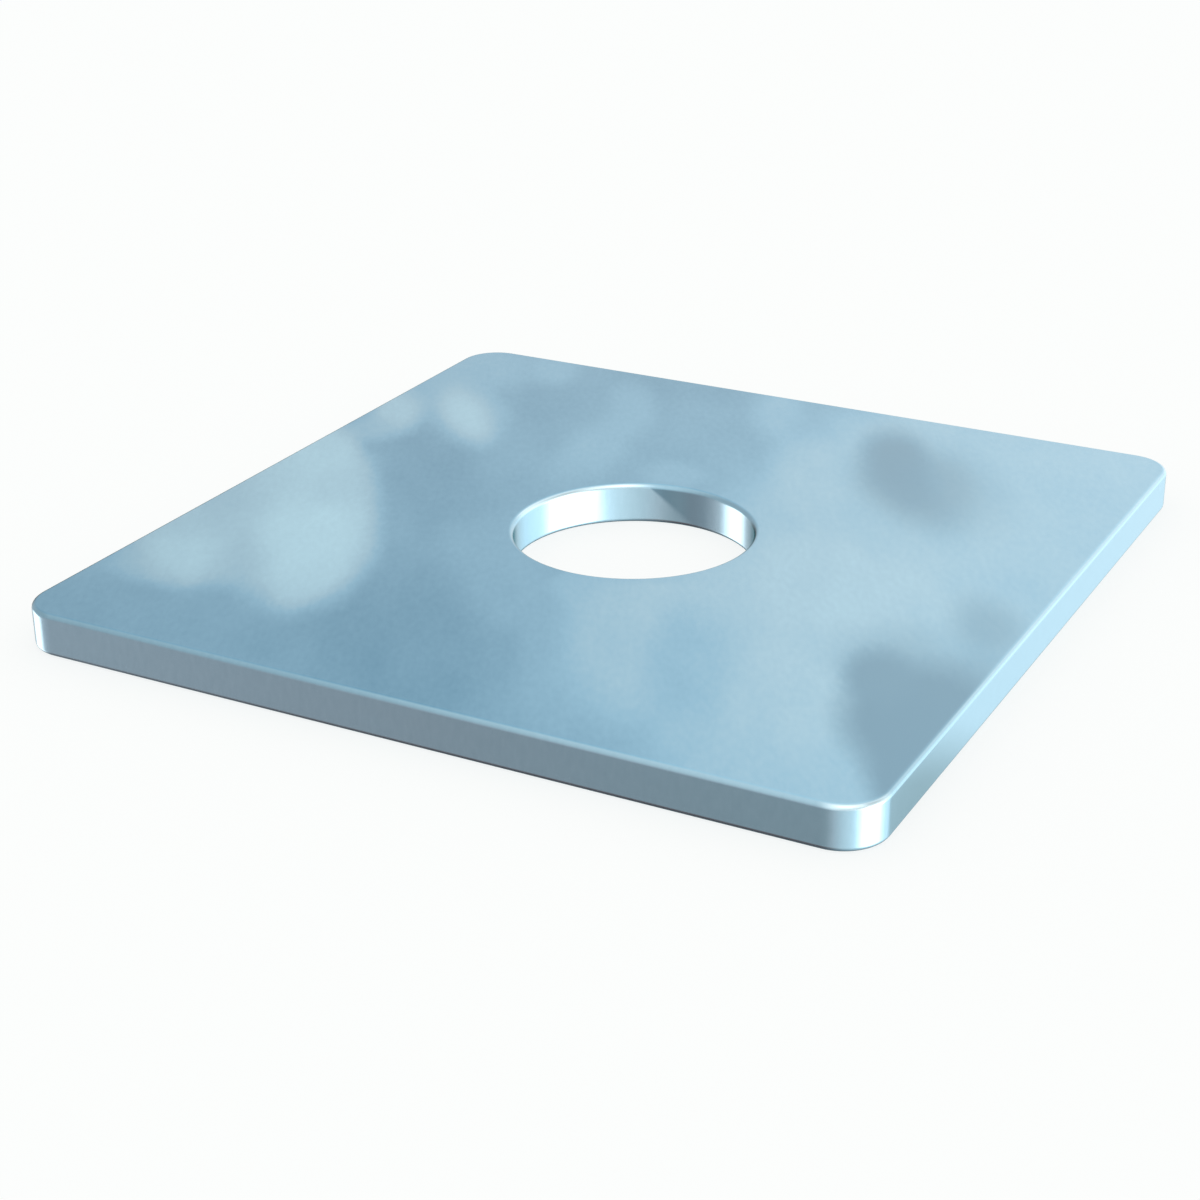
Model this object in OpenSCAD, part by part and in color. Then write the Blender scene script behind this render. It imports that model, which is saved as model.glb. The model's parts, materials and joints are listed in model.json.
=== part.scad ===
// Square plate washer: one flat zinc-plated steel plate with rounded corners,
// softly rounded edges and a plain round bolt hole in its middle.
// It lies flat: the underside is at z = 0 and the hole's axis is the z axis.

/* [Plate] */
// Length of each side of the square
plate_side = 50; // [30:1:150]
// Thickness of the plate
plate_thickness = 2.5; // [1.5:0.5:12]
// Radius of the four corners, seen from above
corner_radius = 2.5; // [1:0.5:8]
// Rounding along the outer edges, above and below
edge_radius = 0.3; // [0.1:0.05:0.6]

/* [Bolt hole] */
// Diameter of the hole's straight wall
hole_diameter = 14; // [5:0.5:26]
// Rounding of the hole's two rims
rim_radius = 0.3; // [0.1:0.05:0.6]

/* [Hidden] */

// Bright zinc with a blue tint
zinc_blue = [0.60, 0.74, 0.81];
// One side strip and one corner make a quarter of the border
quarters = 4;
quarter_turn = 360 / quarters;
// Straight length of each side between its two corners
straight_run = plate_side - 2 * corner_radius;
hole_radius = hole_diameter / 2;
// How far the hole's cutter stands out of both faces
overcut = 1;
$fn = 96;

// What rounding takes off a square edge: a small square less a quarter disc
module edge_waste(radius) {
    difference() {
        square(radius);
        circle(radius);
    }
}

// Section of the border, one corner radius wide, with its two outer edges rounded
module border_section() {
    difference() {
        square([corner_radius, plate_thickness]);
        translate([corner_radius - edge_radius, plate_thickness - edge_radius])
            edge_waste(edge_radius);
        translate([corner_radius - edge_radius, edge_radius])
            mirror([0, 1]) edge_waste(edge_radius);
    }
}

// Straight strip of the border along one side
module side_strip() {
    translate([straight_run / 2, straight_run / 2, 0])
        rotate([90, 0, 0])
            linear_extrude(straight_run) border_section();
}

// Quarter round of the border at one corner
module corner_round() {
    translate([straight_run / 2, straight_run / 2, 0])
        rotate_extrude(angle = quarter_turn) border_section();
}

// The plate before its hole is punched: a square field inside the border
module blank() {
    translate([-straight_run / 2, -straight_run / 2, 0])
        cube([straight_run, straight_run, plate_thickness]);
    for (quarter = [0 : quarters - 1])
        rotate(quarter * quarter_turn) {
            side_strip();
            corner_round();
        }
}

// Half section of what the hole takes away: a straight wall that flares out at one rim
module hole_half_section() {
    square([hole_radius, plate_thickness + overcut]);
    translate([hole_radius, plate_thickness])
        square([rim_radius, overcut]);
    translate([hole_radius + rim_radius, plate_thickness - rim_radius])
        mirror([1, 0]) edge_waste(rim_radius);
}

// Round cutter for the hole, the same from above and from below
module hole_cutter() {
    rotate_extrude() {
        hole_half_section();
        translate([0, plate_thickness]) mirror([0, 1]) hole_half_section();
    }
}

module plate_washer() {
    color(zinc_blue)
        difference() {
            blank();
            hole_cutter();
        }
}

plate_washer();
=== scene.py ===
"""Dresses the square plate washer: one zinc-plated steel plate on a pale studio floor."""
import json
import logging
import math
from dataclasses import dataclass
from enum import Enum
from typing import Iterator, List, Sequence, Tuple, Union

import bmesh
import bpy
from mathutils import Matrix, Vector


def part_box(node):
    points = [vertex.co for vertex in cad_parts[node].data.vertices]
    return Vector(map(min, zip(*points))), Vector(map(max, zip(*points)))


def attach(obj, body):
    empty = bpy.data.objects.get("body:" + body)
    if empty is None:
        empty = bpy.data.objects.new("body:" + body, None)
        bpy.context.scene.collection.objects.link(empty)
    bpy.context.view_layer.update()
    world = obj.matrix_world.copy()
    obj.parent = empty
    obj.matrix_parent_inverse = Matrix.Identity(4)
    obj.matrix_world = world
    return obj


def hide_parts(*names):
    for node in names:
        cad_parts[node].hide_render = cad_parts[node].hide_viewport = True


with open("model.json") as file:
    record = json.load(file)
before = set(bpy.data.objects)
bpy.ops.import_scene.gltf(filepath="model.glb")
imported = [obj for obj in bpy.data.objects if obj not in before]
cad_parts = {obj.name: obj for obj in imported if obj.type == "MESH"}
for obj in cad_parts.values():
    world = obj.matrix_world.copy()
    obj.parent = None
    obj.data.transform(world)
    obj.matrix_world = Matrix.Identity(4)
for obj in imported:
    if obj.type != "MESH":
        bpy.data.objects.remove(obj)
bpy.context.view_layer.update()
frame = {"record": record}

NODE = "plate_washer"
BODY = "root"
MM = 0.001
PER_MM = 1000.0
QUARTERS = 4
QUARTER_TURN = 90.0
HALF_TURN = 180.0
NOISE_MIDDLE = 0.5
WHITE = (1.0, 1.0, 1.0)
BACKDROP = (0.975, 0.988, 0.980)

log = logging.getLogger("washer")

Colour = Tuple[float, float, float]
Point = Tuple[float, float]
Node = bpy.types.Node
Socket = bpy.types.NodeSocket
Source = Union[Socket, float, Sequence[float]]
Walk = List[Tuple[Vector, Vector]]


def opaque(colour: Colour) -> Tuple[float, float, float, float]:
    """Gives a colour its full alpha."""
    return (*colour, 1.0)


def bare_material(name: str) -> bpy.types.Material:
    """Makes a material with no nodes in it.

    Args:
        name: the material's name.

    Returns:
        The empty material.
    """
    made = bpy.data.materials.new(name)
    made.use_nodes = True
    made.node_tree.nodes.clear()
    return made


def toward(azimuth: float, elevation: float) -> Vector:
    """Finds the unit vector that points to a place on the sky.

    Args:
        azimuth: degrees from +X towards +Y.
        elevation: degrees above the horizon.

    Returns:
        The direction as a unit vector.
    """
    turn = math.radians(azimuth)
    rise = math.radians(elevation)
    level = math.cos(rise)
    return Vector((level * math.cos(turn), level * math.sin(turn), math.sin(rise)))


@dataclass
class Graph:
    """A node tree, with short ways to add nodes and join their sockets."""

    tree: bpy.types.NodeTree

    def add(self, kind: str, **settings: object) -> Node:
        """Adds a node.

        Args:
            kind: Blender's name for the type of node.
            **settings: attributes to set on it.

        Returns:
            The new node.
        """
        node = self.tree.nodes.new(kind)
        for name, value in settings.items():
            setattr(node, name, value)
        return node

    def feed(self, socket: Socket, source: Source) -> None:
        """Links a socket to another one, or sets its own value.

        Args:
            socket: the input to feed.
            source: an output socket, or a plain value.
        """
        if isinstance(source, Socket):
            self.tree.links.new(source, socket)
        else:
            socket.default_value = source

    def math(self, operation: str, *sources: Source) -> Socket:
        """Works on numbers.

        Args:
            operation: Blender's name for the operation.
            *sources: its numbers.

        Returns:
            The resulting value.
        """
        node = self.add("ShaderNodeMath", operation=operation)
        for socket, source in zip(node.inputs, sources):
            self.feed(socket, source)
        return node.outputs[0]

    def vector(self, operation: str, *sources: Source) -> Socket:
        """Works on vectors.

        Args:
            operation: Blender's name for the operation.
            *sources: its vectors.

        Returns:
            The resulting vector, or the value where the operation gives one.
        """
        node = self.add("ShaderNodeVectorMath", operation=operation)
        for socket, source in zip(node.inputs, sources):
            self.feed(socket, source)
        gives_value = operation in {"DOT_PRODUCT", "LENGTH", "DISTANCE"}
        return node.outputs["Value" if gives_value else "Vector"]

    def scale(self, vector: Source, factor: Source) -> Socket:
        """Multiplies a vector by one number.

        Args:
            vector: what to multiply.
            factor: the number.

        Returns:
            The longer or shorter vector.
        """
        node = self.add("ShaderNodeVectorMath", operation="SCALE")
        self.feed(node.inputs[0], vector)
        self.feed(node.inputs["Scale"], factor)
        return node.outputs["Vector"]

    def ease(
        self, value: Source, low: Source, high: Source, start: float = 0.0, end: float = 1.0
    ) -> Socket:
        """Eases from one value to another as a number goes from low to high.

        Args:
            value: the number to follow.
            low: where the change begins.
            high: where it ends.
            start: the value before low.
            end: the value after high.

        Returns:
            The eased value.
        """
        node = self.add("ShaderNodeMapRange", interpolation_type="SMOOTHSTEP")
        self.feed(node.inputs["Value"], value)
        self.feed(node.inputs["From Min"], low)
        self.feed(node.inputs["From Max"], high)
        node.inputs["To Min"].default_value = start
        node.inputs["To Max"].default_value = end
        return node.outputs["Result"]

    def mix(self, share: Source, under: Source, over: Source) -> Socket:
        """Lays one colour over another.

        Args:
            share: how much of the upper colour shows.
            under: the lower colour.
            over: the upper colour.

        Returns:
            The mixed colour.
        """
        node = self.add("ShaderNodeMix", data_type="RGBA")
        self.feed(node.inputs["Factor"], share)
        colours = [socket for socket in node.inputs if socket.type == "RGBA"]
        self.feed(colours[0], under)
        self.feed(colours[1], over)
        return next(socket for socket in node.outputs if socket.type == "RGBA")

    def ramp(self, value: Source, stops: Sequence[Tuple[float, Colour]]) -> Socket:
        """Goes through a row of colours.

        Args:
            value: the number to follow, from 0 to 1.
            stops: where each colour lies, and the colour.

        Returns:
            The colour.
        """
        node = self.add("ShaderNodeValToRGB")
        self.feed(node.inputs["Fac"], value)
        row = node.color_ramp.elements
        while len(row) < len(stops):
            row.new(1.0)
        for element, (position, colour) in zip(row, stops):
            element.position = position
            element.color = opaque(colour)
        return node.outputs["Color"]

    def noise(self, place: Source, scale: float, detail: float, output: str = "Fac") -> Socket:
        """Adds a noise texture.

        Args:
            place: where to read it.
            scale: how many lumps in one unit of place.
            detail: how many finer layers it has.
            output: "Fac" for a value round 0.5, or "Color" for three of them.

        Returns:
            The noise.
        """
        node = self.add("ShaderNodeTexNoise")
        self.feed(node.inputs["Vector"], place)
        node.inputs["Scale"].default_value = scale
        node.inputs["Detail"].default_value = detail
        return node.outputs[output]

    def group(self, group: bpy.types.NodeTree, **sources: Source) -> Socket:
        """Places a node group.

        Args:
            group: the group.
            **sources: what feeds each input, by its name in small letters.

        Returns:
            The group's first output.
        """
        node = self.add("ShaderNodeGroup", node_tree=group)
        for name, source in sources.items():
            self.feed(node.inputs[name.capitalize()], source)
        return node.outputs[0]

    def plain(self, kind: str, colour: Colour) -> Node:
        """Adds a shader of one colour.

        Args:
            kind: Blender's name for the shader.
            colour: its colour.

        Returns:
            The shader.
        """
        node = self.add(kind)
        node.inputs["Color"].default_value = opaque(colour)
        return node

    def blend(self, share: Source, under: Node, over: Node) -> Node:
        """Lays one shader over another.

        Args:
            share: how much of the upper shader shows.
            under: the lower shader.
            over: the upper shader.

        Returns:
            The mixed shader.
        """
        node = self.add("ShaderNodeMixShader")
        self.feed(node.inputs[0], share)
        self.feed(node.inputs[1], under.outputs[0])
        self.feed(node.inputs[2], over.outputs[0])
        return node


class Layer(Enum):
    """The layers of painted light on the plating: reflections of a clouded sky, reflections of grey
    clouds, and highlights on the rims.
    """

    SKY_REFLECTION = "sky_and_grain_tone"
    GREY_REFLECTION = "grey_reflection"
    RIM_HIGHLIGHT = "rim_highlight"


@dataclass(frozen=True)
class PaintedLight:
    """One soft patch of painted light: a reflection of a cloud or a highlight on a rim, laid out across
    and along the camera's line of sight.
    """

    layer: Layer
    centre: Point
    across: float
    along: float
    feather: float
    tone: float
    strength: float = 1.0
    turn: float = 0.0


@dataclass(frozen=True)
class PaintedHoleShade:
    """A painted shade on the hole's wall: one sharp slanting border, then fading out round the hole."""

    colour: Colour = (0.125, 0.250, 0.330)
    depth: float = 0.90
    tail_depth: float = 0.55
    border: float = 111.0
    slant: float = 10.0
    softness: float = 0.5
    spread: float = 1.8
    fade_start: float = 104.0
    fade_end: float = 93.0
    tail_start: float = 82.0
    tail_end: float = 70.0

    def mask(self, graph: Graph, axes: Node, drop: Socket) -> Socket:
        """Finds how much of the painted shade shows.

        Args:
            graph: the material's nodes.
            axes: the place on the plate, split into its three numbers.
            drop: how far below the top face, in millimetres.

        Returns:
            The patch's share, from 0 to 1.
        """
        angle = graph.math("ARCTAN2", axes.outputs["Y"], axes.outputs["X"])
        angle = graph.math("DEGREES", angle)
        past = graph.math("MULTIPLY_ADD", drop, self.slant, graph.math("SUBTRACT", angle, self.border))
        blur = graph.math("MULTIPLY_ADD", drop, self.spread, self.softness)
        inside = graph.ease(graph.math("DIVIDE", past, blur), 1.0, -1.0)
        fade = graph.ease(angle, self.fade_end, self.fade_start, self.tail_depth, self.depth)
        tail = graph.ease(angle, self.tail_end, self.tail_start)
        return graph.math("MULTIPLY", graph.math("MULTIPLY", inside, fade), tail)


@dataclass(frozen=True)
class PlateSpot:
    """Where a point lies on the plate, in millimetres.

    Attributes:
        place: the point itself.
        axes: the point, split into its three numbers.
        upper: 1 in the upper half of the thickness, 0 in the lower half.
        flat: the point on the nearer face, as that face is looked at.
        sightline: the flat point, across and along the camera's line of sight.
        drawn: the same, drawn out along the camera's line of sight, as the painted reflections are.
        middle: half of the thickness.
    """

    place: Socket
    axes: Node
    upper: Socket
    flat: Socket
    sightline: Socket
    drawn: Socket
    middle: float


@dataclass(frozen=True)
class ZincFinish:
    """Bright zinc plating with a blue tint and fine grain, carrying painted light: reflections of a
    clouded sky, highlights on its rims, and a sheen and a shade in its hole.
    """

    # The plating's tints along the tone of the painted sky reflection, from deep to pale
    deep: Colour = (0.145, 0.321, 0.444)
    steel: Colour = (0.267, 0.488, 0.628)
    sheen: Colour = (0.360, 0.564, 0.674)
    pale: Colour = (0.522, 0.788, 0.890)
    steel_tone: float = 0.370
    sheen_tone: float = 0.575
    # The colour of the painted reflections of grey clouds
    grey_reflection: Colour = (0.184, 0.330, 0.425)
    edge_dull: Colour = (0.255, 0.430, 0.532)
    edge_fresh: Colour = (0.295, 0.480, 0.588)
    # The colour of the painted highlights on the rims and of the painted sheen in the hole
    bright: Colour = (0.620, 0.800, 0.870)
    # How far the painted sheen lightens the hole's wall towards the highlight colour
    hole_sheen_share: float = 0.07
    # The painted shade on the hole's wall
    painted_hole_shade: PaintedHoleShade = PaintedHoleShade()
    # The camera's heading across the plate: the painted reflections are drawn out along it
    camera_heading: float = 28.3
    ground_tone: float = 0.22
    drift_scale: float = 0.11
    drift_reach: float = 2.0
    fringe_scale: float = 2.6
    fringe_reach: float = 0.42
    streak_draw: float = 0.42
    mottle_scale: float = 0.35
    mottle_share: float = 0.18
    grain_scale: float = 3.0
    grain_share: float = 0.14
    coarse_detail: float = 2.0
    fine_detail: float = 3.0
    shear_draw: float = 0.40
    face_border: float = 0.06
    rim_border: float = 0.30
    hole_reach: float = 7.6
    smooth_roughness: float = 0.19
    hazy_roughness: float = 0.28
    grain_height: float = 2.5e-6
    painted_lights: Tuple[PaintedLight, ...] = (
        # Painted sky reflection: the pale right half, with its brighter and duller streaks
        PaintedLight(Layer.SKY_REFLECTION, (26.0, 6.0), 23.0, 40.0, 0.13, 0.47, turn=-20.0),
        PaintedLight(Layer.SKY_REFLECTION, (14.0, -2.0), 5.5, 7.0, 0.60, 0.61, 0.9),
        PaintedLight(Layer.SKY_REFLECTION, (16.5, -14.0), 2.2, 7.0, 0.60, 0.57, 0.9),
        PaintedLight(Layer.SKY_REFLECTION, (14.0, -18.0), 1.6, 4.0, 0.60, 0.57, 0.9),
        PaintedLight(Layer.SKY_REFLECTION, (19.8, 8.0), 2.2, 4.5, 0.70, 0.56, 0.5),
        PaintedLight(Layer.SKY_REFLECTION, (6.5, 11.0), 2.2, 6.5, 0.60, 0.53, 0.8),
        PaintedLight(Layer.SKY_REFLECTION, (5.6, -8.7), 3.4, 3.6, 0.60, 0.56, 0.9),
        PaintedLight(Layer.SKY_REFLECTION, (6.3, -14.8), 2.3, 7.0, 0.60, 0.52, 0.9),
        PaintedLight(Layer.SKY_REFLECTION, (11.3, -15.0), 1.7, 7.0, 0.60, 0.31, 0.7),
        PaintedLight(Layer.SKY_REFLECTION, (-0.3, 21.5), 1.6, 4.0, 0.60, 0.43, 0.8),
        PaintedLight(Layer.SKY_REFLECTION, (1.0, -8.5), 1.6, 2.2, 0.60, 0.43, 0.8),
        PaintedLight(Layer.SKY_REFLECTION, (-1.8, 9.0), 1.8, 2.2, 0.60, 0.41, 0.7),
        # Painted sky reflection: deep blue down the middle, at the top and along the lower edge
        PaintedLight(Layer.SKY_REFLECTION, (-14.5, 2.0), 3.0, 10.0, 0.50, 0.10, 0.8, turn=8.0),
        PaintedLight(Layer.SKY_REFLECTION, (-3.3, -19.0), 5.8, 11.0, 0.55, 0.05, 0.9),
        PaintedLight(Layer.SKY_REFLECTION, (-9.5, 24.5), 5.0, 5.0, 0.60, 0.08, 0.6),
        PaintedLight(Layer.SKY_REFLECTION, (-15.0, 17.0), 2.0, 5.0, 0.60, 0.12, 0.7),
        PaintedLight(Layer.SKY_REFLECTION, (-19.0, -23.0), 9.0, 4.0, 0.60, 0.19, 0.7, turn=60.0),
        PaintedLight(Layer.SKY_REFLECTION, (-10.8, -22.5), 2.6, 2.6, 0.80, 0.06, 0.4),
        PaintedLight(Layer.SKY_REFLECTION, (3.8, -16.8), 1.5, 7.0, 0.60, 0.41, 0.4),
        PaintedLight(Layer.SKY_REFLECTION, (10.3, 16.0), 1.7, 5.0, 0.60, 0.05, 0.8, turn=4.0),
        # Painted sky reflection: faint streaks left of the hole
        PaintedLight(Layer.SKY_REFLECTION, (-2.4, -11.0), 2.2, 5.0, 0.60, 0.32, 0.6),
        PaintedLight(Layer.SKY_REFLECTION, (-7.4, -6.2), 1.8, 3.6, 0.80, 0.33, 0.5),
        PaintedLight(Layer.SKY_REFLECTION, (-9.4, 18.0), 1.6, 5.0, 0.60, 0.36, 0.8),
        PaintedLight(Layer.SKY_REFLECTION, (-8.3, 10.3), 1.8, 5.4, 0.60, 0.42, 0.8, turn=-16.0),
        PaintedLight(Layer.SKY_REFLECTION, (-22.5, 21.0), 3.4, 4.5, 0.60, 0.43, 0.8),
        PaintedLight(Layer.SKY_REFLECTION, (-23.5, 17.0), 2.8, 7.0, 0.60, 0.41, 0.8),
        PaintedLight(Layer.SKY_REFLECTION, (-18.0, 23.0), 1.6, 3.2, 0.60, 0.41, 0.8),
        # Painted reflections of the two small pale clouds at the upper left
        PaintedLight(Layer.SKY_REFLECTION, (-18.8, 12.8), 2.2, 5.8, 0.45, 0.46, turn=14.0),
        PaintedLight(Layer.SKY_REFLECTION, (-18.4, 12.1), 1.2, 4.2, 0.70, 0.72, turn=15.0),
        PaintedLight(Layer.SKY_REFLECTION, (-23.3, 11.0), 1.6, 3.9, 0.60, 0.66, turn=4.0),
        PaintedLight(Layer.SKY_REFLECTION, (-23.0, 7.2), 1.8, 2.4, 0.60, 0.50, 0.8),
        # Painted reflection of the large pale cloud at the left
        PaintedLight(Layer.SKY_REFLECTION, (-20.0, -5.5), 4.6, 14.5, 0.26, 0.70, turn=8.0),
        PaintedLight(Layer.SKY_REFLECTION, (-22.5, -11.0), 4.5, 7.5, 0.30, 0.61),
        PaintedLight(Layer.SKY_REFLECTION, (-22.0, -16.8), 2.6, 2.6, 0.60, 0.53, 0.8),
        PaintedLight(Layer.SKY_REFLECTION, (-13.1, -14.2), 1.4, 3.7, 0.55, 0.68, turn=-8.0),
        PaintedLight(Layer.SKY_REFLECTION, (-16.0, -9.5), 2.6, 6.5, 0.65, 0.84, turn=6.0),
        PaintedLight(Layer.SKY_REFLECTION, (-21.2, -14.2), 2.2, 3.0, 0.70, 0.76, 0.9),
        PaintedLight(Layer.SKY_REFLECTION, (-17.4, -14.6), 1.6, 2.4, 0.70, 0.58, 0.6),
        PaintedLight(Layer.SKY_REFLECTION, (-19.2, -1.0), 1.9, 5.0, 0.50, 0.68, 0.8, turn=3.0),
        PaintedLight(Layer.SKY_REFLECTION, (-23.6, 3.0), 1.8, 4.6, 0.60, 0.76, 0.9, turn=10.0),
        PaintedLight(Layer.SKY_REFLECTION, (-25.0, -5.0), 1.6, 4.0, 0.60, 0.53, 0.7),
        # Painted reflections of grey clouds at the far right and the near right
        PaintedLight(Layer.GREY_REFLECTION, (13.0, 14.0), 3.4, 6.6, 0.80, 0.38),
        PaintedLight(Layer.GREY_REFLECTION, (9.4, 17.4), 1.8, 5.0, 0.70, 0.84, turn=-2.0),
        PaintedLight(Layer.GREY_REFLECTION, (12.0, 13.0), 2.2, 5.2, 0.75, 0.82, turn=8.0),
        PaintedLight(Layer.GREY_REFLECTION, (12.7, 15.6), 1.7, 3.2, 0.90, 0.66),
        PaintedLight(Layer.GREY_REFLECTION, (20.2, -9.6), 2.6, 3.5, 0.80, 0.42),
        PaintedLight(Layer.GREY_REFLECTION, (24.4, -9.6), 1.7, 2.2, 0.70, 0.45),
        PaintedLight(Layer.GREY_REFLECTION, (23.8, -15.0), 4.1, 6.0, 0.35, 0.97),
        PaintedLight(Layer.GREY_REFLECTION, (26.5, -21.0), 3.1, 6.0, 0.30, 0.97),
        PaintedLight(Layer.GREY_REFLECTION, (19.9, -11.3), 1.7, 3.0, 0.55, 0.92),
        PaintedLight(Layer.GREY_REFLECTION, (23.1, -4.2), 1.7, 3.6, 0.75, 0.50),
        # Painted highlights on the rims: the right edge, the hole's far left, the front edge and the
        # front corner
        PaintedLight(Layer.RIM_HIGHLIGHT, (25.0, 0.0), 3.0, 36.0, 0.20, 0.50, turn=-28.3),
        PaintedLight(Layer.RIM_HIGHLIGHT, (-6.6, 3.2), 2.6, 6.0, 0.30, 1.00, turn=-60.0),
        PaintedLight(Layer.RIM_HIGHLIGHT, (18.0, -25.0), 14.0, 14.0, 0.90, 0.20),
        PaintedLight(Layer.RIM_HIGHLIGHT, (24.3, -24.4), 1.65, 1.65, 0.35, 1.00),
    )

    def painted_light_group(self) -> bpy.types.NodeTree:
        """Builds the group that lays one soft patch of painted light over the tone below it.

        Returns:
            The node group, from where it lies and how it looks to the tone over it.
        """
        tree = bpy.data.node_groups.new("painted_light_blend", "ShaderNodeTree")
        for name, kind in (
            ("Place", "NodeSocketVector"),
            ("Centre", "NodeSocketVector"),
            ("Reach", "NodeSocketVector"),
            ("Turn", "NodeSocketFloat"),
            ("Feather", "NodeSocketFloat"),
            ("Tone", "NodeSocketFloat"),
            ("Strength", "NodeSocketFloat"),
            ("Under", "NodeSocketFloat"),
        ):
            tree.interface.new_socket(name, in_out="INPUT", socket_type=kind)
        tree.interface.new_socket("Over", in_out="OUTPUT", socket_type="NodeSocketFloat")
        graph = Graph(tree)
        given = graph.add("NodeGroupInput").outputs
        offset = graph.vector("SUBTRACT", given["Place"], given["Centre"])
        turned = graph.add("ShaderNodeVectorRotate", rotation_type="Z_AXIS")
        graph.feed(turned.inputs["Vector"], offset)
        graph.feed(turned.inputs["Angle"], given["Turn"])
        spread = graph.vector("LENGTH", graph.vector("DIVIDE", turned.outputs[0], given["Reach"]))
        outer = graph.math("ADD", 1.0, given["Feather"])
        inner = graph.math("SUBTRACT", 1.0, given["Feather"])
        amount = graph.math("MULTIPLY", graph.ease(spread, outer, inner), given["Strength"])
        change = graph.math("SUBTRACT", given["Tone"], given["Under"])
        over = graph.math("MULTIPLY_ADD", change, amount, given["Under"])
        graph.feed(graph.add("NodeGroupOutput").inputs["Over"], over)
        return tree

    def view_frame_point(self, point: Point) -> Vector:
        """Turns a point of the plate, in millimetres, into across and along the camera's line of sight.
        """
        return Matrix.Rotation(-math.radians(self.camera_heading), 3, "Z") @ Vector((*point, 0.0))

    def clouds(self, graph: Graph, place: Socket, layer: Layer, ground: float) -> Socket:
        """Lays all the patches of painted light of one layer over each other.

        Args:
            graph: the material's nodes.
            place: where on the plate, across and along the camera's line of sight.
            layer: which clouds to lay.
            ground: the tone under them.

        Returns:
            The layer's tone, from 0 to 1.
        """
        group = bpy.data.node_groups.get("painted_light_blend") or self.painted_light_group()
        tone: Source = ground
        for each_light in self.painted_lights:
            if each_light.layer is layer:
                tone = graph.group(
                    group,
                    place=place,
                    centre=self.view_frame_point(each_light.centre),
                    reach=(each_light.across, each_light.along, 1.0),
                    turn=-math.radians(each_light.turn),
                    feather=each_light.feather,
                    tone=each_light.tone,
                    strength=each_light.strength,
                    under=tone,
                )
        return tone

    def spot(self, graph: Graph, thickness: float) -> PlateSpot:
        """Finds where a point lies on the plate, and across and along the camera's line of sight.

        Args:
            graph: the material's nodes.
            thickness: how thick the plate is, in metres.

        Returns:
            The point's place, in millimetres.
        """
        middle = thickness * PER_MM / 2
        place = graph.scale(graph.add("ShaderNodeTexCoord").outputs["Object"], PER_MM)
        axes = graph.add("ShaderNodeSeparateXYZ")
        graph.feed(axes.inputs[0], place)
        # The underside has the same painted reflections, turned over
        upper = graph.math("GREATER_THAN", axes.outputs["Z"], middle)
        flip = graph.math("MULTIPLY_ADD", upper, 2.0, -1.0)
        flat = graph.add("ShaderNodeCombineXYZ")
        graph.feed(flat.inputs["X"], axes.outputs["X"])
        graph.feed(flat.inputs["Y"], graph.math("MULTIPLY", axes.outputs["Y"], flip))
        turned = graph.add("ShaderNodeVectorRotate", rotation_type="Z_AXIS")
        graph.feed(turned.inputs["Vector"], flat.outputs[0])
        turned.inputs["Angle"].default_value = -math.radians(self.camera_heading)
        sightline = turned.outputs[0]
        return PlateSpot(
            place=place,
            axes=axes,
            upper=upper,
            flat=flat.outputs[0],
            sightline=sightline,
            drawn=graph.vector("MULTIPLY", sightline, (1.0, self.streak_draw, 1.0)),
            middle=middle,
        )

    def ragged(self, graph: Graph, spot: PlateSpot) -> Socket:
        """Shifts a point by noise, which gives the clouds ragged, drawn-out borders.

        Args:
            graph: the material's nodes.
            spot: where the point lies.

        Returns:
            The shifted point, across and along the camera's line of sight.
        """
        grey = (NOISE_MIDDLE, NOISE_MIDDLE, NOISE_MIDDLE)
        drift = graph.noise(spot.drawn, self.drift_scale, self.coarse_detail, "Color")
        drift = graph.scale(graph.vector("SUBTRACT", drift, grey), self.drift_reach)
        fringe = graph.noise(spot.drawn, self.fringe_scale, self.fine_detail, "Color")
        fringe = graph.scale(graph.vector("SUBTRACT", fringe, grey), self.fringe_reach)
        level = (1.0, 1.0 / self.streak_draw, 0.0)
        shift = graph.vector("MULTIPLY", graph.vector("ADD", drift, fringe), level)
        return graph.vector("ADD", spot.sightline, shift)

    def speckle(self, graph: Graph, place: Socket, scale: float) -> Socket:
        """Gives fine noise round zero.

        Args:
            graph: the material's nodes.
            place: where to read it.
            scale: how many lumps in a millimetre.

        Returns:
            The noise.
        """
        noise = graph.noise(place, scale, self.fine_detail)
        return graph.math("SUBTRACT", noise, NOISE_MIDDLE)

    def face_tint(self, graph: Graph, sky_and_grain_tone: Socket, grey_reflection: Socket) -> Socket:
        """Tints the faces: the painted sky reflection from deep to pale, then the painted reflection of
        grey clouds over it.

        Args:
            graph: the material's nodes.
            sky_and_grain_tone: the painted sky reflection's tone, with real mottle and grain.
            grey_reflection: how much of the painted reflection of grey clouds shows.

        Returns:
            The faces' colour.
        """
        tones = (
            (0.0, self.deep),
            (self.steel_tone, self.steel),
            (self.sheen_tone, self.sheen),
            (1.0, self.pale),
        )
        return graph.mix(grey_reflection, graph.ramp(sky_and_grain_tone, tones), opaque(self.grey_reflection))

    def wall_tint(self, graph: Graph, spot: PlateSpot, from_middle: Socket) -> Socket:
        """Tints the walls: sheared grain, a painted sheen and a painted shade in the hole, and painted
        highlights on the rims.

        Args:
            graph: the material's nodes.
            spot: where the point lies.
            from_middle: how far it is from the middle of the thickness, in millimetres.

        Returns:
            The walls' colour.
        """
        sheared = graph.vector("MULTIPLY", spot.place, (1.0, 1.0, self.shear_draw))
        grain = graph.noise(sheared, self.grain_scale, self.fine_detail)
        wall = graph.mix(grain, opaque(self.edge_dull), opaque(self.edge_fresh))
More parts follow.
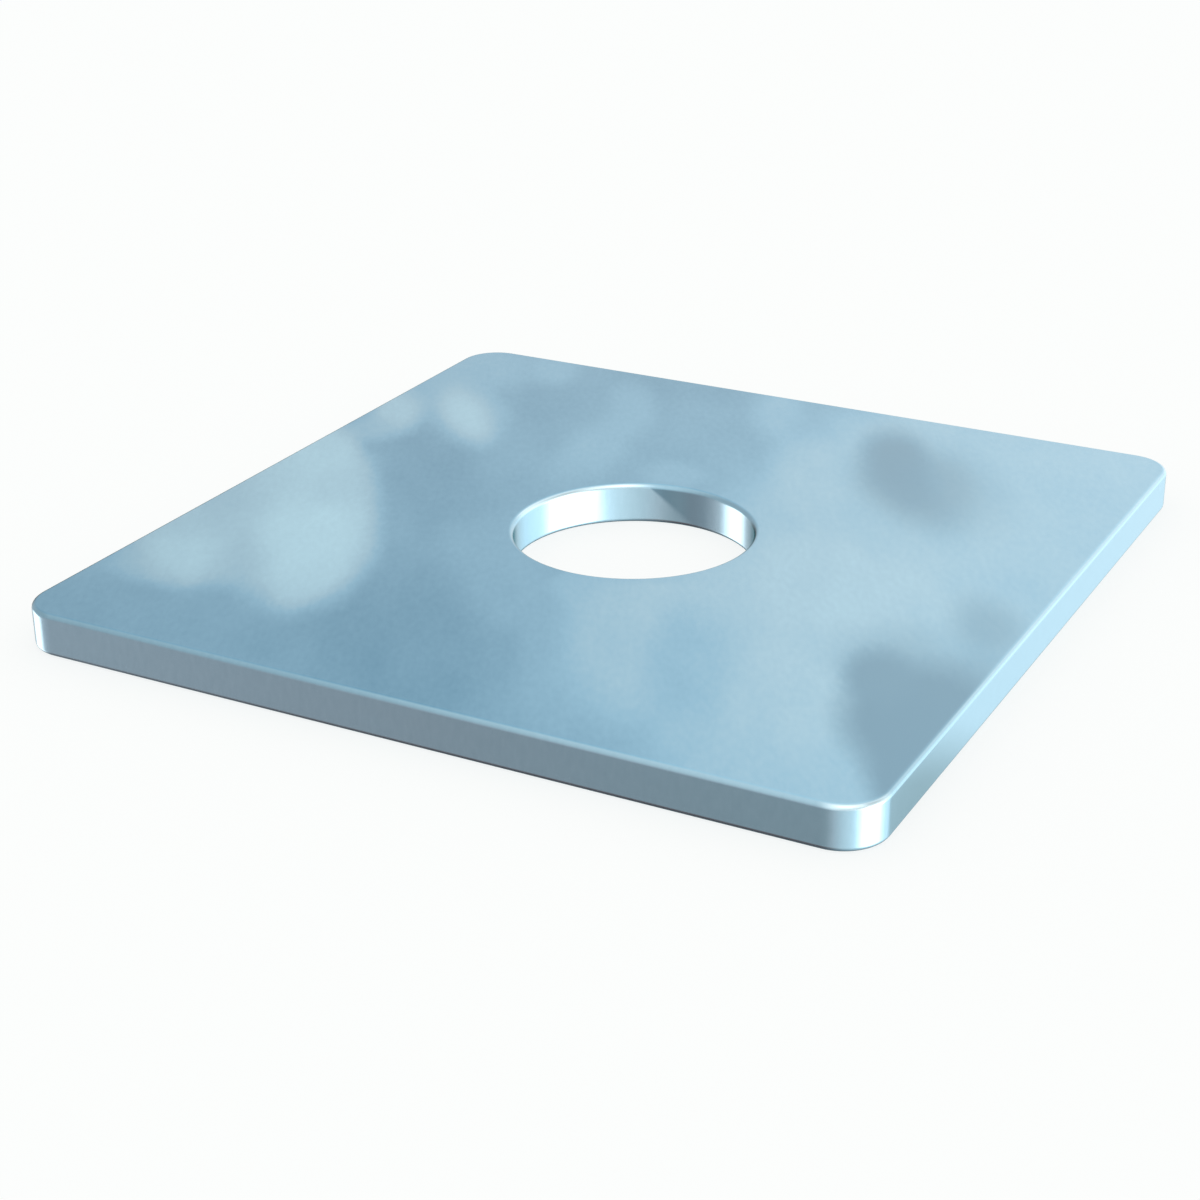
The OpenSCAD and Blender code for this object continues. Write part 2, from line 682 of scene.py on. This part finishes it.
        # Painted sheen: the hole's wall lightened a little towards the highlight colour
        in_hole = graph.math("LESS_THAN", graph.vector("LENGTH", spot.flat), self.hole_reach)
        wall = graph.mix(graph.math("MULTIPLY", in_hole, self.hole_sheen_share), wall, opaque(self.bright))
        rim = graph.ease(from_middle, spot.middle - self.rim_border, spot.middle - self.rim_border / 2)
        # Painted shade on the hole's wall, below its rim
        below_rim = graph.math("MULTIPLY", graph.math("SUBTRACT", 1.0, rim), in_hole)
        drop = graph.math("SUBTRACT", 2 * spot.middle, spot.axes.outputs["Z"])
        shaded_share = graph.math("MULTIPLY", self.painted_hole_shade.mask(graph, spot.axes, drop), below_rim)
        wall = graph.mix(shaded_share, wall, opaque(self.painted_hole_shade.colour))
        # Painted highlights on the upper rims, in the pale highlight colour
        highlight_share = graph.math("MULTIPLY", self.clouds(graph, spot.sightline, Layer.RIM_HIGHLIGHT, 0.0), rim)
        return graph.mix(graph.math("MULTIPLY", highlight_share, spot.upper), wall, opaque(self.bright))

    def material(self, thickness: float) -> bpy.types.Material:
        """Builds the plating's material.

        Args:
            thickness: how thick the plate is, in metres.

        Returns:
            The material.
        """
        # The zinc, with its painted light: reflections of a clouded sky, highlights on the rims, and
        # sheen and shade in the hole
        made = bpy.data.materials.new("zinc_with_painted_light")
        made.use_nodes = True
        graph = Graph(made.node_tree)
        shader = made.node_tree.nodes["Principled BSDF"]
        spot = self.spot(graph, thickness)
        ragged = self.ragged(graph, spot)
        mottle = self.speckle(graph, spot.drawn, self.mottle_scale)
        grain = self.speckle(graph, spot.drawn, self.grain_scale)
        # Painted reflections of a clouded sky, with real mottle and grain added to their tone
        sky_and_grain_tone = self.clouds(graph, ragged, Layer.SKY_REFLECTION, self.ground_tone)
        sky_and_grain_tone = graph.math("MULTIPLY_ADD", mottle, self.mottle_share, sky_and_grain_tone)
        sky_and_grain_tone = graph.math("MULTIPLY_ADD", grain, self.grain_share, sky_and_grain_tone)
        grey_reflection = self.clouds(graph, ragged, Layer.GREY_REFLECTION, 0.0)

        # The walls' tint goes on the walls and roundings, the faces' tint on the flat faces
        height = graph.math("SUBTRACT", spot.axes.outputs["Z"], spot.middle)
        from_middle = graph.math("ABSOLUTE", height)
        facing = graph.ease(from_middle, spot.middle - self.face_border, spot.middle)
        wall = self.wall_tint(graph, spot, from_middle)
        tint = graph.mix(facing, wall, self.face_tint(graph, sky_and_grain_tone, grey_reflection))
        graph.feed(shader.inputs["Base Color"], tint)
        shader.inputs["Metallic"].default_value = 1.0

        # Gloss and grain
        dulling = self.hazy_roughness - self.smooth_roughness
        rough = graph.math("MULTIPLY_ADD", sky_and_grain_tone, dulling, self.smooth_roughness)
        graph.feed(shader.inputs["Roughness"], rough)
        bump = graph.add("ShaderNodeBump")
        bump.inputs["Distance"].default_value = self.grain_height
        graph.feed(bump.inputs["Height"], grain)
        graph.feed(shader.inputs["Normal"], bump.outputs[0])
        return made


@dataclass
class PlateWasher:
    """The plate with its rounded corners, rounded edges and bolt hole, as one closed skin of quads."""

    side: float
    thickness: float
    hole_radius: float
    corner_radius: float = 2.5 * MM
    edge_radius: float = 0.3 * MM
    rim_radius: float = 0.3 * MM
    corner_steps: int = 16
    side_steps: int = 32
    round_steps: int = 8
    face_rings: int = 6
    wall_rings: int = 2
    name: str = "plated_washer"

    def outline(self) -> Iterator[Tuple[Vector, Vector]]:
        """Walks once round the plate's outline.

        Yields:
            Each point of the outline, and the direction that points straight out of it.
        """
        reach = self.side / 2 - self.corner_radius
        for quarter in range(QUARTERS):
            turn = Matrix.Rotation(quarter * math.pi / 2, 3, "Z")
            for step in range(self.side_steps):
                along = reach * (2 * step / self.side_steps - 1)
                yield turn @ Vector((self.side / 2, along, 0.0)), turn @ Vector((1.0, 0.0, 0.0))
            for step in range(self.corner_steps):
                angle = math.pi / 2 * step / self.corner_steps
                out = Vector((math.cos(angle), math.sin(angle), 0.0))
                yield turn @ (Vector((reach, reach, 0.0)) + self.corner_radius * out), turn @ out

    def section(self, point: Vector, out: Vector) -> Walk:
        """Walks once round the plate's section, from the hole's upper rim out and back underneath.

        Args:
            point: the outline's point, where the section ends.
            out: the direction straight out of the outline there.

        Returns:
            The section's points, each with the surface's direction.
        """
        up = Vector((0.0, 0.0, 1.0))
        spoke = point.normalized()
        rim = spoke * (self.hole_radius + self.rim_radius)
        edge = point - out * self.edge_radius
        high, low = self.thickness - self.edge_radius, self.edge_radius
        rim_high, rim_low = self.thickness - self.rim_radius, self.rim_radius
        walk: Walk = []
        for ring in range(self.face_rings):
            walk.append((rim.lerp(edge, ring / self.face_rings) + up * self.thickness, up))
        walk += self.rounding(edge + up * high, up, out, self.edge_radius)
        for ring in range(self.wall_rings):
            height = high + (low - high) * ring / self.wall_rings
            walk.append((point + up * height, out))
        walk += self.rounding(edge + up * low, out, -up, self.edge_radius)
        for ring in range(self.face_rings):
            walk.append((edge.lerp(rim, ring / self.face_rings), -up))
        walk += self.rounding(rim + up * rim_low, -up, -spoke, self.rim_radius)
        for ring in range(self.wall_rings):
            height = rim_low + (rim_high - rim_low) * ring / self.wall_rings
            walk.append((spoke * self.hole_radius + up * height, -spoke))
        walk += self.rounding(rim + up * rim_high, -spoke, up, self.rim_radius)
        return walk

    def rounding(self, centre: Vector, start: Vector, end: Vector, radius: float) -> Walk:
        """Walks round one rounded edge, without its last point.

        Args:
            centre: the middle of the rounding.
            start: the surface's direction where it begins.
            end: the surface's direction where it ends.
            radius: the rounding's radius.

        Returns:
            The rounding's points, each with the surface's direction.
        """
        walk: Walk = []
        for step in range(self.round_steps):
            angle = math.pi / 2 * step / self.round_steps
            way = start * math.cos(angle) + end * math.sin(angle)
            walk.append((centre + way * radius, way))
        return walk

    def build(self) -> bpy.types.Object:
        """Builds the plate's skin.

        Returns:
            The finished object, riding on its body in place of its CAD node.
        """
        sections = [self.section(point, out) for point, out in self.outline()]
        mesh = bpy.data.meshes.new(self.name)
        skin = bmesh.new()
        rows = [[skin.verts.new(point) for point, _ in section] for section in sections]
        for row, following in zip(rows, rows[1:] + rows[:1]):
            for index in range(len(row)):
                after = (index + 1) % len(row)
                skin.faces.new((row[index], row[after], following[after], following[index]))
        bmesh.ops.recalc_face_normals(skin, faces=skin.faces)
        for face in skin.faces:
            face.smooth = True
        skin.to_mesh(mesh)
        skin.free()
        mesh.normals_split_custom_set_from_vertices([way for section in sections for _, way in section])
        piece = bpy.data.objects.new(self.name, mesh)
        bpy.context.collection.objects.link(piece)
        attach(piece, BODY)
        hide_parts(NODE)
        return piece

    def dress(self, piece: bpy.types.Object, finish: ZincFinish) -> None:
        """Gives the plate its plating.

        Args:
            piece: the plate.
            finish: the plating.
        """
        piece.data.materials.append(finish.material(self.thickness))
        piece.visible_glossy = False


@dataclass(frozen=True)
class FloorFinish:
    """A matt pale floor that keeps a faint shadow in front of the camera."""

    colour: Colour = BACKDROP
    glow_share: float = 0.82

    def material(self) -> bpy.types.Material:
        """Builds the floor's material.

        Returns:
            The material.
        """
        made = bare_material("pale_floor")
        graph = Graph(made.node_tree)
        matt = graph.plain("ShaderNodeBsdfDiffuse", self.colour)
        glow = graph.plain("ShaderNodeEmission", self.colour)
        seen = graph.add("ShaderNodeLightPath").outputs["Is Camera Ray"]
        shown = graph.blend(graph.math("MULTIPLY", seen, self.glow_share), matt, glow)
        graph.feed(graph.add("ShaderNodeOutputMaterial").inputs["Surface"], shown.outputs[0])
        return made


@dataclass
class StudioFloor:
    """The pale round floor that the plate lies on."""

    radius: float = 0.6
    drop: float = 0.02 * MM
    steps: int = 96

    def build(self) -> bpy.types.Object:
        """Builds the floor, just under the plate.

        Returns:
            The floor.
        """
        mesh = bpy.data.meshes.new("floor")
        disc = bmesh.new()
        bmesh.ops.create_circle(disc, cap_ends=True, segments=self.steps, radius=self.radius)
        disc.to_mesh(mesh)
        disc.free()
        floor = bpy.data.objects.new("floor", mesh)
        floor.location.z = -self.drop
        bpy.context.collection.objects.link(floor)
        return floor

    def dress(self, floor: bpy.types.Object, finish: FloorFinish) -> None:
        """Gives the floor its finish, and lets the metal mirror the light tent and not the floor.

        Args:
            floor: the floor.
            finish: its finish.
        """
        floor.data.materials.append(finish.material())
        floor.visible_glossy = False


@dataclass(frozen=True)
class Softbox:
    """One soft light of the tent round the plate: a disc on its sky with a soft border."""

    azimuth: float
    elevation: float
    reach: float
    feather: float
    radiance: float
    tint: Colour = WHITE

    def glow(self, graph: Graph, sky: Socket) -> Socket:
        """Finds how much of this light comes from a place on the sky.

        Args:
            graph: the world's nodes.
            sky: the direction of the place.

        Returns:
            The light's colour there.
        """
        nearness = graph.vector("DOT_PRODUCT", sky, toward(self.azimuth, self.elevation))
        rim = math.cos(math.radians(min(self.reach + self.feather, HALF_TURN)))
        face = math.cos(math.radians(max(self.reach - self.feather, 0.0)))
        return graph.scale(self.tint, graph.ease(nearness, rim, face, 0.0, self.radiance))


@dataclass
class LightTent:
    """The studio's light: even white light all round, and soft lights that the metal mirrors."""

    backdrop: Colour = BACKDROP
    fill: float = 0.74
    boxes: Tuple[Softbox, ...] = (
        # The broad key, grey flags in it, a glow at its side, and a small light overhead for the rims
        Softbox(0.0, 16.0, 107.0, 24.0, 0.52),
        Softbox(10.0, 30.0, 55.0, 22.0, -0.22),
        Softbox(0.0, 25.0, 31.0, 17.0, -0.44),
        Softbox(-45.0, 12.0, 24.0, 16.0, -0.15),
        Softbox(62.0, 10.0, 26.0, 20.0, 0.16),
        Softbox(-40.0, 52.0, 20.0, 14.0, 0.80),
        # A bright warm card low beside the plate, its wide glow, and a cool strip
        Softbox(0.5, -18.0, 24.5, 12.0, 2.60, (1.15, 1.00, 0.95)),
        Softbox(4.0, -20.0, 46.0, 25.0, 0.60, (1.10, 1.00, 0.94)),
        Softbox(60.0, -12.0, 20.0, 14.0, 0.17, (-0.20, 0.70, 1.00)),
        # A second bright light low across from it, and its glow
        Softbox(-179.5, -23.0, 11.0, 10.5, 2.50, (1.18, 1.00, 0.93)),
        Softbox(-165.0, -23.0, 22.0, 16.0, 0.14, (1.10, 1.00, 0.95)),
        # Faint tints: warm beyond the front corner and behind the right edge, cool behind the left
        Softbox(-70.0, -24.0, 24.0, 18.0, 0.10, (0.60, -0.35, -0.75)),
        Softbox(102.0, 34.0, 14.0, 12.0, 0.028, (1.00, -0.20, -0.60)),
        Softbox(144.0, 24.0, 24.0, 16.0, 0.022, (-0.40, 0.30, 1.00)),
        # Grey flags for the front wall, the ends of the round walls, the far outline and the lower edges
        Softbox(-125.0, -35.0, 30.0, 22.0, -0.11, (-0.30, 0.90, 1.00)),
        Softbox(-106.0, -36.0, 14.0, 14.0, -0.12),
        Softbox(-104.0, -30.0, 6.0, 12.0, -0.11, (1.00, 0.00, 0.00)),
        Softbox(-90.0, -26.0, 10.0, 12.0, -0.13, (1.00, 0.90, 0.80)),
        Softbox(120.0, -24.0, 18.0, 12.0, -0.50, (1.15, 0.90, 0.85)),
        Softbox(139.0, -4.0, 10.0, 9.0, -0.50, (1.00, 1.05, 1.10)),
        Softbox(98.0, -38.0, 15.0, 14.0, -0.35, (1.15, 0.90, 0.85)),
        Softbox(0.0, -90.0, 46.0, 18.0, -0.55),
    )

    def build(self) -> None:
        """Builds the world."""
        world = bpy.data.worlds.new("light_tent")
        world.use_nodes = True
        world.node_tree.nodes.clear()
        graph = Graph(world.node_tree)
        sky = graph.vector("NORMALIZE", graph.add("ShaderNodeTexCoord").outputs["Generated"])
        light: Source = (self.fill, self.fill, self.fill)
        for box in self.boxes:
            light = graph.vector("ADD", light, box.glow(graph, sky))
        mirrored = graph.add("ShaderNodeBackground")
        graph.feed(mirrored.inputs["Color"], light)
        even = graph.plain("ShaderNodeBackground", WHITE)
        seen = graph.plain("ShaderNodeBackground", self.backdrop)
        path = graph.add("ShaderNodeLightPath").outputs
        lit = graph.blend(path["Is Glossy Ray"], even, mirrored)
        shown = graph.blend(path["Is Camera Ray"], lit, seen)
        graph.feed(graph.add("ShaderNodeOutputWorld").inputs["Surface"], shown.outputs[0])
        world.cycles.sampling_method = "NONE"
        bpy.context.scene.world = world


@dataclass(frozen=True)
class CardFinish:
    """Even grey that fades out towards both ends of the card."""

    colour: Colour = (0.75, 0.84, 0.84)

    def material(self, start: float, near: Point, far: Point, slant: float) -> bpy.types.Material:
        """Builds the card's material.

        Args:
            start: the side from which the near end slants away, in metres.
            near: where the near end starts to show and shows fully, in metres.
            far: where the far end shows fully and ends, in metres.
            slant: how far the near end moves on for each metre across.

        Returns:
            The material.
        """
        made = bare_material("grey_card")
        graph = Graph(made.node_tree)
        axes = graph.add("ShaderNodeSeparateXYZ")
        graph.feed(axes.inputs[0], graph.add("ShaderNodeTexCoord").outputs["Object"])
        slanted = graph.math("SUBTRACT", axes.outputs["X"], start)
        slanted = graph.math("MULTIPLY_ADD", slanted, -slant, axes.outputs["Y"])
        near_end = graph.ease(slanted, near[0], near[1])
        far_end = graph.ease(axes.outputs["Y"], far[1], far[0])
        clear = graph.plain("ShaderNodeBsdfTransparent", WHITE)
        grey = graph.plain("ShaderNodeEmission", self.colour)
        shown = graph.blend(graph.math("MULTIPLY", near_end, far_end), clear, grey)
        graph.feed(graph.add("ShaderNodeOutputMaterial").inputs["Surface"], shown.outputs[0])
        return made


@dataclass
class GreyCard:
    """A small card on the floor beside the front corner, which only the metal shows."""

    across: Point = (25.05 * MM, 27.5 * MM)
    near: Point = (-23.1 * MM, -22.3 * MM)
    far: Point = (-17.6 * MM, -8.6 * MM)
    slant: float = 1.60
    lift: float = 0.01 * MM

    def build(self) -> bpy.types.Object:
        """Builds the card.

        Returns:
            The card.
        """
        corners = [(x, y, self.lift) for y in (self.near[0], self.far[1]) for x in self.across]
        mesh = bpy.data.meshes.new("grey_card")
        mesh.from_pydata(corners, [], [(0, 1, 3, 2)])
        card = bpy.data.objects.new("grey_card", mesh)
        bpy.context.collection.objects.link(card)
        return card

    def dress(self, card: bpy.types.Object, finish: CardFinish) -> None:
        """Gives the card its finish, and hides it from all but the metal.

        Args:
            card: the card.
            finish: its finish.
        """
        card.data.materials.append(finish.material(self.across[0], self.near, self.far, self.slant))
        card.visible_camera = False
        card.visible_diffuse = False
        card.visible_shadow = False


@dataclass
class PhotoCamera:
    """The camera at the photograph's place, in lengths of the plate's side and in degrees."""

    side: float
    azimuth: float = 28.2941
    elevation: float = 24.3085
    roll: float = -0.5557
    distance: float = 2.7522
    aside: float = -0.0394
    above: float = -0.0374
    focal_pixels: float = 2350.32
    frame_pixels: float = 1200.0
    sensor: float = 36.0
    nearest: float = 0.1

    def build(self) -> bpy.types.Object:
        """Builds the camera and makes it the scene's own.

        Returns:
            The camera.
        """
        back = toward(self.azimuth - QUARTER_TURN, self.elevation)
        right = toward(self.azimuth, 0.0)
        turned = Matrix.Rotation(math.radians(self.roll), 3, back) @ right
        up = back.cross(turned)
        eye = self.side * (back * self.distance + turned * self.aside + up * self.above)
        data = bpy.data.cameras.new("photo_camera")
        data.sensor_width = self.sensor
        data.lens = self.focal_pixels / self.frame_pixels * self.sensor
        data.clip_start = self.side * self.nearest
        camera = bpy.data.objects.new("photo_camera", data)
        pose = Matrix((turned, up, back)).transposed().to_4x4()
        pose.translation = eye
        camera.matrix_world = pose
        bpy.context.collection.objects.link(camera)
        bpy.context.scene.camera = camera
        return camera


def bore_radius() -> float:
    """Reads the bolt hole's radius from the record, in metres."""
    bore = next(mount for mount in frame["record"]["mounts"] if mount["name"] == "bolt_hole")
    return bore["dims"]["r_mm"] * MM


def main() -> None:
    """Builds the studio and the plate."""
    logging.basicConfig(level=logging.INFO, format="%(name)s: %(message)s")
    bpy.context.scene.view_settings.view_transform = "Standard"
    low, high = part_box(NODE)
    side = high[0] - low[0]
    PhotoCamera(side).build()
    LightTent().build()
    floor = StudioFloor()
    floor.dress(floor.build(), FloorFinish())
    card = GreyCard()
    card.dress(card.build(), CardFinish())
    washer = PlateWasher(side, high[2] - low[2], bore_radius())
    piece = washer.build()
    washer.dress(piece, ZincFinish())
    log.info("%s: %d faces on %s", piece.name, len(piece.data.polygons), BODY)


if __name__ == "__main__":
    main()
